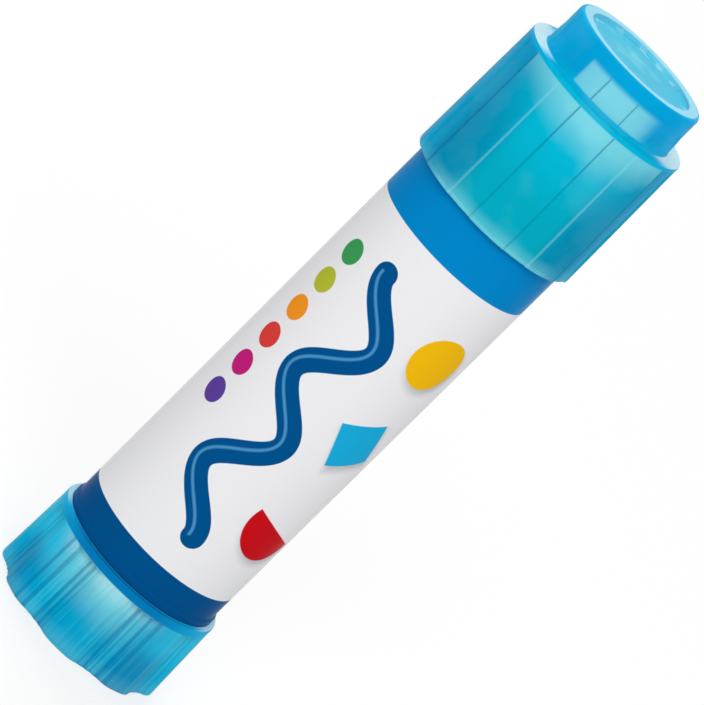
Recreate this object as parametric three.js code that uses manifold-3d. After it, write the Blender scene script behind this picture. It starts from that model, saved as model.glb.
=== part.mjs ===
// A craft glue stick with its cap on, standing on its turning knob. Millimetres, +Z up.
// The origin is the centre of the knob's foot. Angles are measured from the front, -Y, towards +X.
// Turning the knob turns a left-hand screw, which lifts a keyed carrier and the glue on it.
// The glue is used down to a short stub, so the carrier can travel its whole way under the cap.
import * as THREE from "three";
import { mergeVertices } from "three/addons/utils/BufferGeometryUtils.js";
import Module from "manifold-3d";

const wasm = await Module();
wasm.setup();

// Barrel
const boreRadius = 8.2;
const bodyWall = 1.3;
const bodyLength = 53.7;
const neckWall = 0.8;
const neckLength = 10.2;
const neckChamfer = 0.3;
const snapBeadRise = 0.1;
const snapBeadFoot = 1.9;
const snapBeadHeight = 0.8;
const footBeadRise = 0.25;
const footBeadHeight = 0.55;
const floorThickness = 1.2;
const keyCount = 4;
const keyWidth = 1.2;
const keyRise = 0.35;
const keyInset = 0.7;

// Printed sleeve
const sleeveThickness = 0.08;
const sleeveGap = 0.02;
const sleeveEndGap = 0.1;

// Knob
const knobHeight = 10.05;
const bandHeight = 1.05;
const bandOverhang = 0.95;
const bandChamfer = 0.25;
const knobFlare = 0.3;
const knobWall = 0.7;
const knobFootChamfer = 0.2;
const lobeCount = 8;
const lobeDepth = 0.7;
const lobeTurn = THREE.MathUtils.degToRad(2.5);
const reedsPerValley = 4;
const reedDepth = 0.14;
const lobeCrownShare = 0.12;
const lobeSmoothShare = 0.27;
const lobeValleyShare = 0.45;
const hubWall = 1.5;
const hubFootInset = 2.4;
const ribThickness = 0.7;
const ribFootInset = 3.2;
const spigotHeight = 1.5;
const spigotWall = 0.9;

// Screw spindle
const threadPitch = 3.0;
const threadCrestRadius = 2.4;
const threadDepth = 0.7;
const threadCrestWidth = 0.7;
const threadFlankWidth = 0.6;
const shankRadius = 2.3;
const shankSides = 6;
const journalRadius = 3.0;
const flangeRadius = 4.6;
const flangeThickness = 1.0;
const spindleInset = 3.0;
const barbRadius = 2.95;
const barbHeight = 1.0;
const spindleChamfer = 0.6;

// Carrier and glue
const cupHeight = 6.0;
const cupWall = 0.8;
const cupBase = 1.2;
const nutHeight = 4.5;
const nutWall = 1.3;
const glueStand = 5.4;
const glueInset = 1.5;
const glueEdge = 0.4;

// Cap
const lipDepth = 1.25;
const lipWall = 0.76;
const capDraft = 0.23;
const capHeadroom = 4.5;
const shoulderThickness = 0.9;
const shoulderEdge = 0.1;
const bossHeight = 4.95;
const bossFootRadius = 8.4;
const bossDraft = 0.12;
const bossWall = 1.1;
const rimWidth = 1.55;
const rimEdge = 0.5;
const dishDepth = 0.5;
const topPlate = 1.2;
const gateRadius = 0.6;
const gateHeight = 0.15;
const panelCount = 8;
const panelAngle = THREE.MathUtils.degToRad(18.5);
const panelTurn = THREE.MathUtils.degToRad(-15.7);
const panelDepth = 0.16;
const skirtPanelInset = 0.7;
const bossPanelInset = 1.7;

// Clearances
const runGap = 0.2;
const slideGap = 0.2;
const keyGap = 0.2;
const threadGap = 0.2;
const socketGap = 0.2;
const glueGap = 0.1;
const capGap = 0.12;
const lipGap = 0.22;
const seatGap = 0.2;

// How finely the round pieces are cut
const sides = 48;
const threadSides = 12;
const lobeSteps = 3;
const panelSteps = 3;
const landSteps = 4;
const spare = 1;
const slope = 0.05;

// Places that follow from the sizes
const neckRadius = boreRadius + neckWall;
const bodyRadius = boreRadius + bodyWall;
const bandRadius = bodyRadius + bandOverhang;
const knobFootRadius = bandRadius + knobFlare;
const barrelFoot = knobHeight + runGap;
const spigotTop = knobHeight + spigotHeight;
const floorUnder = spigotTop + runGap;
const floorTop = floorUnder + floorThickness;
const flangeFoot = floorTop + runGap;
const flangeTop = flangeFoot + flangeThickness;
const ledge = barrelFoot + bodyLength;
const neckTop = ledge + neckLength;
const spindleTop = neckTop - spindleInset;
const glueTop = neckTop - glueInset;
const cupRim = glueTop - glueStand;
const carrierFoot = cupRim - cupHeight;
const cupFloor = carrierFoot + cupBase;
const nutTop = carrierFoot + nutHeight;
const capSeat = ledge + seatGap;
const capFoot = capSeat - lipDepth;
const shoulderUnder = neckTop + capHeadroom;
const shoulderTop = shoulderUnder + shoulderThickness;
const capTop = shoulderTop + bossHeight;
const carrierRadius = boreRadius - slideGap;
const threadRootRadius = threadCrestRadius - threadDepth;
const nutRadius = threadCrestRadius + threadGap + nutWall;
const hubRadius = shankRadius + socketGap + hubWall;
const spigotRadius = boreRadius - spigotWall / 2;

// A point at an angle from the front, -Y, towards +X.
function polar(angle, radius, height) {
  return new THREE.Vector3(radius * Math.sin(angle), -radius * Math.cos(angle), height);
}

// A closed geometry as a solid, with its shared corners merged and its empty triangles dropped.
function toSolid(geometry) {
  const bare = geometry.index ? geometry.toNonIndexed() : geometry.clone();
  bare.deleteAttribute("normal");
  bare.deleteAttribute("uv");
  const merged = mergeVertices(bare, 1e-4);
  const corners = [];
  const index = merged.index.array;
  for (let i = 0; i < index.length; i += 3) {
    const [a, b, c] = [index[i], index[i + 1], index[i + 2]];
    if (a !== b && b !== c && c !== a) corners.push(a, b, c);
  }
  return new wasm.Manifold(
    new wasm.Mesh({
      numProp: 3,
      vertProperties: merged.attributes.position.array,
      triVerts: new Uint32Array(corners),
    }),
  );
}

// A solid as a geometry that a mesh can draw.
function toGeometry(solid) {
  const { numProp, vertProperties, triVerts } = solid.getMesh();
  const positions = new Float32Array((vertProperties.length / numProp) * 3);
  for (let i = 0; i < positions.length / 3; i++) {
    positions.set(vertProperties.subarray(i * numProp, i * numProp + 3), i * 3);
  }
  const geometry = new THREE.BufferGeometry();
  geometry.setAttribute("position", new THREE.BufferAttribute(positions, 3));
  geometry.setIndex(new THREE.BufferAttribute(new Uint32Array(triVerts), 1));
  geometry.computeVertexNormals();
  return geometry;
}

// A closed profile of [radius, height] pairs turned about Z. The outer side of the profile runs upwards.
function turned(profile, count = sides) {
  const points = profile.map(([radius, height]) => new THREE.Vector2(radius, height));
  points.push(points[0].clone());
  return toSolid(new THREE.LatheGeometry(points, count).rotateX(Math.PI / 2));
}

// A round bar between two heights.
function bar(radius, low, high, count = sides) {
  return turned([[0, low], [radius, low], [radius, high], [0, high]], count);
}

// A ring between two radii and two heights.
function ring(inner, outer, low, high) {
  return turned([[inner, low], [outer, low], [outer, high], [inner, high]]);
}

// A box from one radius to another at an angle, as wide as asked.
function spoke(angle, inner, outer, width, low, high) {
  const geometry = new THREE.BoxGeometry(width, outer - inner, high - low);
  geometry.translate(0, -(inner + outer) / 2, (low + high) / 2);
  return toSolid(geometry.rotateZ(angle));
}

// A skin over closed outlines of as many points each, lowest first, with a flat fan at each end.
function loft(outlines) {
  const count = outlines[0].length;
  const points = outlines.flat();
  const corners = [];
  for (let level = 0; level < outlines.length - 1; level++) {
    for (let i = 0; i < count; i++) {
      const a = level * count + i;
      const b = level * count + ((i + 1) % count);
      corners.push(a, b, b + count, a, b + count, a + count);
    }
  }
  const last = (outlines.length - 1) * count;
  const low = points.push(new THREE.Vector3(0, 0, outlines[0][0].z)) - 1;
  const high = points.push(new THREE.Vector3(0, 0, outlines.at(-1)[0].z)) - 1;
  for (let i = 0; i < count; i++) {
    const next = (i + 1) % count;
    corners.push(low, next, i, high, last + i, last + next);
  }
  const geometry = new THREE.BufferGeometry().setFromPoints(points);
  return toSolid(geometry.setIndex(corners));
}

// A left-hand screw between two heights. Its thread keeps the same place wherever it is cut off.
function screw(rootRadius, crestRadius, crestWidth, low, high) {
  const first = Math.floor((low / threadPitch - 2) * threadSides);
  const steps = Math.ceil((high / threadPitch + 2) * threadSides) - first;
  const half = crestWidth / 2;
  const tooth = [
    [rootRadius, -half - threadFlankWidth],
    [crestRadius, -half],
    [crestRadius, half],
    [rootRadius, half + threadFlankWidth],
  ];
  const points = [];
  const place = (step, [radius, rise]) => {
    const turn = (first + step) / threadSides;
    return polar(-2 * Math.PI * turn, radius, turn * threadPitch + rise);
  };
  for (let step = 0; step <= steps + threadSides; step++) {
    const wanted = step <= steps ? tooth : tooth.slice(0, 1);
    wanted.forEach((corner) => points.push(place(step, corner)));
  }
  const full = (steps + 1) * tooth.length;
  const at = (step, corner) => {
    if (corner === tooth.length) return at(step + threadSides, 0);
    return step <= steps ? step * tooth.length + corner : full + (step - steps - 1);
  };
  const corners = [];
  for (let step = 0; step < steps; step++) {
    for (let corner = 0; corner < tooth.length; corner++) {
      const [a, b] = [at(step, corner), at(step + 1, corner)];
      const [c, d] = [at(step, corner + 1), at(step + 1, corner + 1)];
      corners.push(a, c, d, a, d, b);
    }
  }
  const lowTip = points.push(new THREE.Vector3(0, 0, points[0].z - threadPitch)) - 1;
  const highTip = points.push(new THREE.Vector3(0, 0, points[lowTip - 1].z + threadPitch)) - 1;
  for (let step = 0; step < threadSides; step++) {
    corners.push(lowTip, at(step, 0), at(step + 1, 0));
    corners.push(highTip, at(steps + step + 1, 0), at(steps + step, 0));
  }
  for (let corner = 0; corner < tooth.length; corner++) {
    corners.push(lowTip, at(0, corner + 1), at(0, corner));
    corners.push(highTip, at(steps, corner), at(steps, corner + 1));
  }
  const geometry = new THREE.BufferGeometry().setFromPoints(points);
  const endless = toSolid(geometry.setIndex(corners));
  return endless.intersect(bar(crestRadius + spare, low, high));
}

// The barrel's inside keys, and the slots that clear them in what slides past.
function keys(gap, low, high) {
  const inner = boreRadius - keyRise - gap;
  const outer = boreRadius + (gap ? spare : neckWall / 2);
  const made = [];
  for (let i = 0; i < keyCount; i++) {
    const angle = (2 * Math.PI * i) / keyCount;
    made.push(spoke(angle, inner, outer, keyWidth + 2 * gap, low, high));
  }
  return made;
}

function makeBarrel() {
  const bead = ledge + snapBeadFoot;
  const slant = snapBeadHeight / 4;
  const shell = turned([
    [bodyRadius, barrelFoot],
    [bodyRadius + footBeadRise, barrelFoot],
    [bodyRadius + footBeadRise, barrelFoot + footBeadHeight],
    [bodyRadius, barrelFoot + footBeadHeight + footBeadRise],
    [bodyRadius, ledge],
    [neckRadius, ledge],
    [neckRadius, bead],
    [neckRadius + snapBeadRise, bead + slant],
    [neckRadius + snapBeadRise, bead + snapBeadHeight - slant],
    [neckRadius, bead + snapBeadHeight],
    [neckRadius, neckTop - neckChamfer],
    [neckRadius - neckChamfer, neckTop],
    [boreRadius, neckTop],
    [boreRadius, floorTop],
    [journalRadius + runGap, floorTop],
    [journalRadius + runGap, floorUnder],
    [spigotRadius + runGap, floorUnder],
    [spigotRadius + runGap, barrelFoot],
  ]);
  return keys(0, floorTop - floorThickness / 2, neckTop - keyInset).reduce((a, b) => a.add(b), shell);
}

function makeSleeve() {
  const inner = bodyRadius + sleeveGap;
  const outer = inner + sleeveThickness;
  const beadTop = barrelFoot + footBeadHeight;
  return turned([
    [inner + footBeadRise, barrelFoot],
    [outer + footBeadRise, barrelFoot],
    [outer + footBeadRise, beadTop + sleeveThickness],
    [outer, beadTop + footBeadRise + sleeveThickness],
    [outer, capFoot - sleeveEndGap],
    [inner, capFoot - sleeveEndGap],
    [inner, beadTop + footBeadRise],
    [inner + footBeadRise, beadTop],
  ]);
}

// Each step across one lobe and the reeded valley beside it: its place in the lobe's pitch, and its dip.
function gripSteps() {
  const steps = [];
  const dip = (place) => {
    const fromLobe = Math.min(Math.abs(place), 1 - place);
    return lobeDepth * THREE.MathUtils.smoothstep(fromLobe, lobeCrownShare, lobeValleyShare);
  };
  for (let i = 1 - lobeSteps; i < lobeSteps; i++) {
    const place = (lobeSmoothShare * i) / lobeSteps;
    steps.push([place, dip(place)]);
  }
  for (let i = 0; i <= 2 * reedsPerValley; i++) {
    const place = lobeSmoothShare + ((1 - 2 * lobeSmoothShare) * i) / (2 * reedsPerValley);
    steps.push([place, dip(place) + (i % 2) * reedDepth]);
  }
  return steps;
}

// One level of the knob's grip. The share of the lobes' depth is 1 on the grip and 0 on the plain band.
function gripOutline(radius, height, share) {
  const outline = [];
  const pitch = (2 * Math.PI) / lobeCount;
  for (let lobe = 0; lobe < lobeCount; lobe++) {
    for (const [place, dip] of gripSteps()) {
      outline.push(polar(lobeTurn + (lobe + place) * pitch, radius - share * dip, height));
    }
  }
  return outline;
}

function makeKnob() {
  const bandFoot = knobHeight - bandHeight;
  const outside = loft([
    gripOutline(knobFootRadius - knobFootChamfer, 0, 1),
    gripOutline(knobFootRadius, knobFootChamfer, 1),
    gripOutline(bandRadius, bandFoot, 1),
    gripOutline(bandRadius, bandFoot + slope, 0),
    gripOutline(bandRadius, knobHeight - bandChamfer, 0),
    gripOutline(bandRadius - bandChamfer, knobHeight, 0),
  ]);
  const wall = lobeDepth + reedDepth + knobWall;
  const hollow = turned([
    [0, -spare],
    [knobFootRadius - wall, -spare],
    [knobFootRadius - wall, 0],
    [bandRadius - wall, bandFoot],
    [0, bandFoot],
  ]);
  const spigot = ring(spigotRadius - spigotWall, spigotRadius, bandFoot + slope, spigotTop);
  let knob = outside.subtract(hollow).add(spigot);
  knob = knob.add(bar(hubRadius, hubFootInset, spigotTop));
  const ribEnd = bandRadius - lobeDepth - reedDepth - knobWall / 2;
  const ribStart = hubRadius - hubWall / 2;
  for (let rib = 0; rib < lobeCount; rib++) {
    const angle = lobeTurn + (2 * Math.PI * rib) / lobeCount;
    knob = knob.add(spoke(angle, ribStart, ribEnd, ribThickness, ribFootInset, bandFoot + slope));
  }
  return knob.subtract(bar(shankRadius + socketGap, hubFootInset - spare, spigotTop + spare, shankSides));
}

function makeSpindle() {
  const barbTop = hubFootInset - runGap;
  const barb = turned([
    [0, barbTop - barbHeight],
    [barbRadius - barbHeight / 2, barbTop - barbHeight],
    [barbRadius, barbTop - barbHeight / 3],
    [barbRadius, barbTop],
    [0, barbTop],
  ]);
  const shank = bar(shankRadius, barbTop - barbHeight / 2, flangeFoot, shankSides);
  const journal = bar(journalRadius, spigotTop + runGap / 2, flangeFoot + flangeThickness / 2);
  const flange = bar(flangeRadius, flangeFoot, flangeTop);
  const tip = turned([
    [0, flangeFoot],
    [threadCrestRadius + spare, flangeFoot],
    [threadCrestRadius + spare, spindleTop - spindleChamfer - spare],
    [threadCrestRadius - spindleChamfer, spindleTop],
    [0, spindleTop],
  ]);
  const thread = screw(threadRootRadius, threadCrestRadius, threadCrestWidth, flangeFoot, spindleTop);
  return thread.intersect(tip).add(flange).add(journal).add(shank).add(barb);
}

function makeCarrier() {
  let carrier = turned([
    [0, carrierFoot],
    [carrierRadius, carrierFoot],
    [carrierRadius, cupRim],
    [carrierRadius - cupWall, cupRim],
    [carrierRadius - cupWall, cupFloor],
    [nutRadius, cupFloor],
    [nutRadius, nutTop],
    [0, nutTop],
  ]);
  for (const slot of keys(keyGap, carrierFoot - spare, cupRim + spare)) carrier = carrier.subtract(slot);
  const tap = screw(
    threadRootRadius + threadGap,
    threadCrestRadius + threadGap,
    threadCrestWidth + threadGap,
    carrierFoot - spare,
    nutTop + spare,
  );
  return carrier.subtract(tap);
}

function makeGlue() {
  const hole = threadCrestRadius + threadGap;
  let glue = turned([
    [hole, nutTop + glueGap],
    [nutRadius + glueGap, nutTop + glueGap],
    [nutRadius + glueGap, cupFloor + glueGap],
    [carrierRadius - cupWall - glueGap, cupFloor + glueGap],
    [carrierRadius - cupWall - glueGap, cupRim + glueGap],
    [carrierRadius, cupRim + glueGap],
    [carrierRadius, glueTop - glueEdge],
    [carrierRadius - glueEdge, glueTop],
    [hole + glueEdge, glueTop],
    [hole, glueTop - glueEdge],
  ]);
  for (const slot of keys(keyGap, cupRim, glueTop + spare)) glue = glue.subtract(slot);
  return glue;
}

// One level of the cap's outside, with shallow flat panels sunk into it by the depth given.
function capOutline(radius, height, depth) {
  const outline = [];
  const pitch = (2 * Math.PI) / panelCount;
  const half = panelAngle / 2;
  const side = slope / radius;
  for (let panel = 0; panel < panelCount; panel++) {
    const middle = panelTurn + panel * pitch;
    outline.push(polar(middle - half - side, radius, height));
    for (let i = 0; i <= panelSteps; i++) {
      outline.push(polar(middle - half + (i / panelSteps) * panelAngle, radius - depth, height));
    }
    outline.push(polar(middle + half + side, radius, height));
    for (let i = 1; i < landSteps; i++) {
      outline.push(polar(middle + half + (i / landSteps) * (pitch - panelAngle), radius, height));
    }
  }
  return outline;
}

function makeCap() {
  const footRadius = bodyRadius + lipGap + lipWall;
  const topRadius = footRadius - capDraft;
  const rimRadius = bossFootRadius - bossDraft;
  const dishRadius = rimRadius - rimWidth;
  const outside = loft([
    capOutline(footRadius, capFoot, panelDepth),
    capOutline(topRadius, shoulderTop - skirtPanelInset, panelDepth),
    capOutline(topRadius, shoulderTop - skirtPanelInset + slope, 0),
    capOutline(topRadius, shoulderTop - shoulderEdge, 0),
    capOutline(topRadius - shoulderEdge, shoulderTop, 0),
    capOutline(bossFootRadius, shoulderTop, 0),
    capOutline(bossFootRadius, shoulderTop + slope, panelDepth),
    capOutline(rimRadius, capTop - bossPanelInset, panelDepth),
    capOutline(rimRadius, capTop - bossPanelInset + slope, 0),
    capOutline(rimRadius, capTop - rimEdge, 0),
    capOutline(rimRadius - rimEdge / 3, capTop - rimEdge / 3, 0),
    capOutline(rimRadius - rimEdge, capTop, 0),
  ]);
  const dish = turned([
    [0, capTop - dishDepth],
    [dishRadius, capTop - dishDepth],
    [dishRadius, capTop + spare],
    [0, capTop + spare],
  ]);
  const gate = turned([
    [0, capTop - dishDepth - topPlate / 2],
    [gateRadius, capTop - dishDepth - topPlate / 2],
    [gateRadius, capTop - dishDepth],
    [gateRadius / 2, capTop - dishDepth + gateHeight],
    [0, capTop - dishDepth + gateHeight],
  ]);
  const bore = neckRadius + capGap;
  const ceiling = capTop - dishDepth - topPlate;
  const groove = capSeat + snapBeadFoot - seatGap;
  const hollow = turned([
    [0, capFoot - spare],
    [bodyRadius + lipGap, capFoot - spare],
    [bodyRadius + lipGap, capSeat],
    [bore, capSeat],
    [bore, groove - snapBeadRise],
    [bore + snapBeadRise, groove],
    [bore + snapBeadRise, groove + snapBeadHeight],
    [bore, groove + snapBeadHeight + snapBeadRise],
    [bore, shoulderUnder],
    [bossFootRadius - bossWall, shoulderUnder],
    [rimRadius - bossWall, ceiling],
    [0, ceiling],
  ]);
  return outside.subtract(dish).subtract(hollow).add(gate);
}

// The finish of each piece.
const finishes = {
  tintedPlastic: { color: 0x12a6d2, roughness: 0.28, metalness: 0 },
  printedFilm: { color: 0xe7e8ea, roughness: 0.25, metalness: 0 },
  naturalPlastic: { color: 0xe4e6e2, roughness: 0.45, metalness: 0 },
  glue: { color: 0xf4f2ea, roughness: 0.55, metalness: 0 },
};

function piece(name, solid, finish) {
  const mesh = new THREE.Mesh(toGeometry(solid), new THREE.MeshStandardMaterial(finishes[finish]));
  mesh.name = name;
  return mesh;
}

const glueStick = new THREE.Group();
glueStick.add(
  piece("barrel", makeBarrel(), "tintedPlastic"),
  piece("label_sleeve", makeSleeve(), "printedFilm"),
  piece("turning_knob", makeKnob(), "tintedPlastic"),
  piece("screw_spindle", makeSpindle(), "naturalPlastic"),
  piece("glue_carrier", makeCarrier(), "naturalPlastic"),
  piece("glue", makeGlue(), "glue"),
  piece("cap", makeCap(), "tintedPlastic"),
);

export default glueStick;
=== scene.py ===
# Glue stick in the studio: a part-used stick with its cap on.
# Lengths are in metres. The front is -Y, and angles run from there towards +X.
import bpy
import math
from mathutils import Matrix, Vector, noise


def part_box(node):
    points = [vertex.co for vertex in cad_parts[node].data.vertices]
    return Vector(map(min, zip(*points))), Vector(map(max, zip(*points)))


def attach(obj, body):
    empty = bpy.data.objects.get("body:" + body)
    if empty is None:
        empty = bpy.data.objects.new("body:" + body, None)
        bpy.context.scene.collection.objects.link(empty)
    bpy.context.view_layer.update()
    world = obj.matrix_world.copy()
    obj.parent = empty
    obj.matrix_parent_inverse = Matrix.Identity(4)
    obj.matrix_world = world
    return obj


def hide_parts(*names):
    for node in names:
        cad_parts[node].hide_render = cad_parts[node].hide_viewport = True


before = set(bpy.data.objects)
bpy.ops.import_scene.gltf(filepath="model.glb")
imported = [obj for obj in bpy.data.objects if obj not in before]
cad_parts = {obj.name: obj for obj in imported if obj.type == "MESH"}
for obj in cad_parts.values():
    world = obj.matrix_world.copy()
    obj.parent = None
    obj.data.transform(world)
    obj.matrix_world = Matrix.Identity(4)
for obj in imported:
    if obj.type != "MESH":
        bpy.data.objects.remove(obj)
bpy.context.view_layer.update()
mm = 0.001


# Shared mesh code

def onStick(angle, radius, height):
    return Vector((radius * math.sin(angle), -radius * math.cos(angle), height))


def evenly(count):
    return [2 * math.pi * i / count for i in range(count)]


def smoothStep(value, low, high):
    share = min(max((value - low) / (high - low), 0.0), 1.0)
    return share * share * (3 - 2 * share)


# A corner is (radius, height, fillet, share): how round it is, and how much of the relief it takes.
def rounded(corners, closed=False, arcSteps=6):
    points = []
    count = len(corners)
    for i, (radius, height, fillet, share) in enumerate(corners):
        atEnd = not closed and i in (0, count - 1)
        if fillet == 0 or atEnd:
            points.append((radius, height, share))
            continue
        here = Vector((radius, height))
        before = Vector(corners[i - 1][:2]) - here
        after = Vector(corners[(i + 1) % count][:2]) - here
        half = before.angle(after) / 2
        cut = min(fillet / math.tan(half), before.length * 0.49, after.length * 0.49)
        start = here + before.normalized() * cut
        end = here + after.normalized() * cut
        for step in range(arcSteps + 1):
            t = step / arcSteps
            spot = start * (1 - t) ** 2 + here * 2 * t * (1 - t) + end * t ** 2
            points.append((spot.x, spot.y, share))
    return points


# Turns an outline about the stick's axis. Its outer side runs upwards.
def turned(name, outline, angles, relief=None, closed=False):
    verts = []
    rings = []
    for radius, height, share in outline:
        if radius == 0:
            rings.append([len(verts)])
            verts.append((0, 0, height))
            continue
        ring = []
        for angle in angles:
            inset = share * relief(angle) if share else 0
            ring.append(len(verts))
            verts.append(onStick(angle, radius - inset, height))
        rings.append(ring)
    if closed:
        rings.append(rings[0])
    faces = []
    for low, high in zip(rings, rings[1:]):
        for i in range(len(angles)):
            face = [low[i % len(low)], low[(i + 1) % len(low)]]
            face += [high[(i + 1) % len(high)], high[i % len(high)]]
            faces.append(list(dict.fromkeys(face)))
    return addPiece(name, verts, faces)


def addPiece(name, verts, faces, sharpFrom=40):
    mesh = bpy.data.meshes.new(name)
    mesh.from_pydata(verts, [], faces)
    mesh.validate()
    mesh.shade_smooth()
    mesh.set_sharp_from_angle(angle=math.radians(sharpFrom))
    piece = bpy.data.objects.new(name, mesh)
    bpy.context.scene.collection.objects.link(piece)
    return piece


def dress(piece, material):
    piece.data.materials.clear()
    piece.data.materials.append(material)


def seat(piece, body, node):
    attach(piece, body)
    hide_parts(node)


# Shared material code

def newMaterial(name):
    material = bpy.data.materials.new(name)
    material.use_nodes = True
    tree = material.node_tree
    return material, tree, tree.nodes["Principled BSDF"]


def plug(tree, socket, value):
    if isinstance(value, bpy.types.NodeSocket):
        tree.links.new(value, socket)
    else:
        socket.default_value = value


def calc(tree, operation, *values):
    node = tree.nodes.new("ShaderNodeMath")
    node.operation = operation
    for socket, value in zip(node.inputs, values):
        plug(tree, socket, value)
    return node.outputs[0]


def product(tree, value, *others):
    for other in others:
        value = calc(tree, "MULTIPLY", value, other)
    return value


def remap(tree, value, low, high, toLow=0.0, toHigh=1.0):
    node = tree.nodes.new("ShaderNodeMapRange")
    node.interpolation_type = "SMOOTHSTEP"
    plug(tree, node.inputs["Value"], value)
    ends = {"From Min": low, "From Max": high, "To Min": toLow, "To Max": toHigh}
    for socket, number in ends.items():
        node.inputs[socket].default_value = number
    return node.outputs[0]


def length(tree, x, y):
    return calc(tree, "SQRT", calc(tree, "MULTIPLY_ADD", x, x, calc(tree, "MULTIPLY", y, y)))


# 1 between two limits and 0 outside them, with edges as soft as asked
def zone(tree, value, start, end, soft):
    rise = remap(tree, value, start - soft / 2, start + soft / 2)
    fall = remap(tree, value, end - soft / 2, end + soft / 2, 1.0, 0.0)
    return calc(tree, "MULTIPLY", rise, fall)


# 1 on a thin line where the value is as given
def lineAt(tree, value, place, half):
    away = calc(tree, "ABSOLUTE", calc(tree, "SUBTRACT", value, place))
    return remap(tree, away, half * 0.4, half, 1.0, 0.0)


# The same for some lines, each given as its place and half its width
def linesAt(tree, value, lines):
    drawn = 0.0
    for place, half in lines:
        drawn = calc(tree, "MAXIMUM", drawn, lineAt(tree, value, place, half))
    return drawn


def mixColour(tree, share, under, over):
    node = tree.nodes.new("ShaderNodeMix")
    node.data_type = "RGBA"
    plug(tree, node.inputs["Factor"], share)
    plug(tree, node.inputs[6], under)
    plug(tree, node.inputs[7], over)
    return node.outputs[2]


def mixNumber(tree, share, under, over):
    return calc(tree, "MULTIPLY_ADD", share, calc(tree, "SUBTRACT", over, under), under)


def placeOf(tree):
    coords = tree.nodes.new("ShaderNodeTexCoord")
    parts = tree.nodes.new("ShaderNodeSeparateXYZ")
    tree.links.new(coords.outputs["Object"], parts.inputs[0])
    return coords.outputs["Object"], parts.outputs


# How far a point is from the stick's axis
def radiusOf(tree):
    _, place = placeOf(tree)
    return length(tree, place["X"], place["Y"])


# The angle around the stick, from the front towards +X, in radians
def angleOf(tree):
    _, place = placeOf(tree)
    return calc(tree, "ARCTAN2", place["X"], calc(tree, "MULTIPLY", place["Y"], -1.0))


# The angle from a direction or from the one opposite it, in degrees
def turnFrom(tree, direction):
    turn = calc(tree, "MULTIPLY_ADD", angleOf(tree), math.degrees(1), -direction)
    return calc(tree, "WRAP", turn, 90.0, -90.0)


# The same, to either side alike
def fromDirection(tree, direction):
    return calc(tree, "ABSOLUTE", turnFrom(tree, direction))


# 1 where a face looks up and 0 where it looks sideways or down
def lookingUp(tree):
    coords = tree.nodes.new("ShaderNodeTexCoord")
    parts = tree.nodes.new("ShaderNodeSeparateXYZ")
    tree.links.new(coords.outputs["Normal"], parts.inputs[0])
    return remap(tree, parts.outputs["Z"], 0.5, 0.9)


def speckle(tree, scale, detail=3.0, stretch=(1, 1, 1)):
    place, _ = placeOf(tree)
    mapping = tree.nodes.new("ShaderNodeMapping")
    mapping.inputs["Scale"].default_value = stretch
    tree.links.new(place, mapping.inputs[0])
    node = tree.nodes.new("ShaderNodeTexNoise")
    node.inputs["Scale"].default_value = scale
    node.inputs["Detail"].default_value = detail
    tree.links.new(mapping.outputs[0], node.inputs["Vector"])
    return node.outputs["Fac"]


# The grain takes the roughness from one value to another and back
def roughen(tree, shader, grain, roughness):
    tree.links.new(remap(tree, grain, 0.3, 0.7, *roughness), shader.inputs["Roughness"])


def emboss(tree, shader, height, depth):
    node = tree.nodes.new("ShaderNodeBump")
    node.inputs["Strength"].default_value = 1.0
    node.inputs["Distance"].default_value = depth
    tree.links.new(height, node.inputs["Height"])
    tree.links.new(node.outputs["Normal"], shader.inputs["Normal"])


# sRGB as on screen, turned into Blender's linear colour
def paint(red, green, blue):
    linear = []
    for level in (red, green, blue):
        level = level / 255
        linear.append(level / 12.92 if level <= 0.04045 else ((level + 0.055) / 1.055) ** 2.4)
    return (*linear, 1.0)


# Camera: the stick stands upright, so the camera is rolled to lay it across the picture
shot = {
    "distance": 0.657,
    "elevation": 15.5,
    "axisOnScreen": 44.75,  # degrees above the picture's horizontal
    "aim": (0.00024, 0.0, 0.04158),
    "lens": 327.2,
    "sensor": 36.0,
}


def addCamera():
    rise = math.radians(shot["elevation"])
    roll = math.radians(shot["axisOnScreen"])
    back = Vector((0, -math.cos(rise), math.sin(rise)))
    side = Vector((1, 0, 0))
    top = back.cross(side)
    right = math.cos(roll) * top + math.sin(roll) * side
    up = math.sin(roll) * top - math.cos(roll) * side
    place = Vector(shot["aim"]) + shot["distance"] * back
    data = bpy.data.cameras.new("studioCamera")
    data.sensor_width = shot["sensor"]
    data.lens = shot["lens"]
    data.clip_start = 0.05
    data.clip_end = 20
    camera = bpy.data.objects.new("studioCamera", data)
    turn = Matrix((right, up, back)).transposed().to_4x4()
    camera.matrix_world = Matrix.Translation(place) @ turn
    bpy.context.scene.collection.objects.link(camera)
    bpy.context.scene.camera = camera


addCamera()
print("camera placed")


# Tinted plastic of the cap, the knob and the barrel: cloudy, deeper in colour where it is thick
tintedPlastic = {
    "azure": paint(0, 178, 232),
    "turquoise": paint(0, 186, 210),
    "sky": paint(0, 202, 232),
    # light and pale are the colours of the painted glows, highlights and reflections below; light also
    # lightens the random clouds
    "light": paint(150, 240, 248),
    "pale": paint(224, 255, 255),
    "roughness": (0.32, 0.40),
    "transmission": 0.25,
    "ior": 1.15,
    "specular": 0.04,
    "depthTint": (0.02, 0.70, 0.93, 1.0),
    "depthDensity": 60.0,  # per metre
    "grain": 900.0,
    "grainDepth": 0.01 * mm,
    "cloud": 160.0,
    "cloudShare": 0.06,
    "unevenness": 8.0 * mm,  # how far the clouds shift the end of a glow
}
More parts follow.
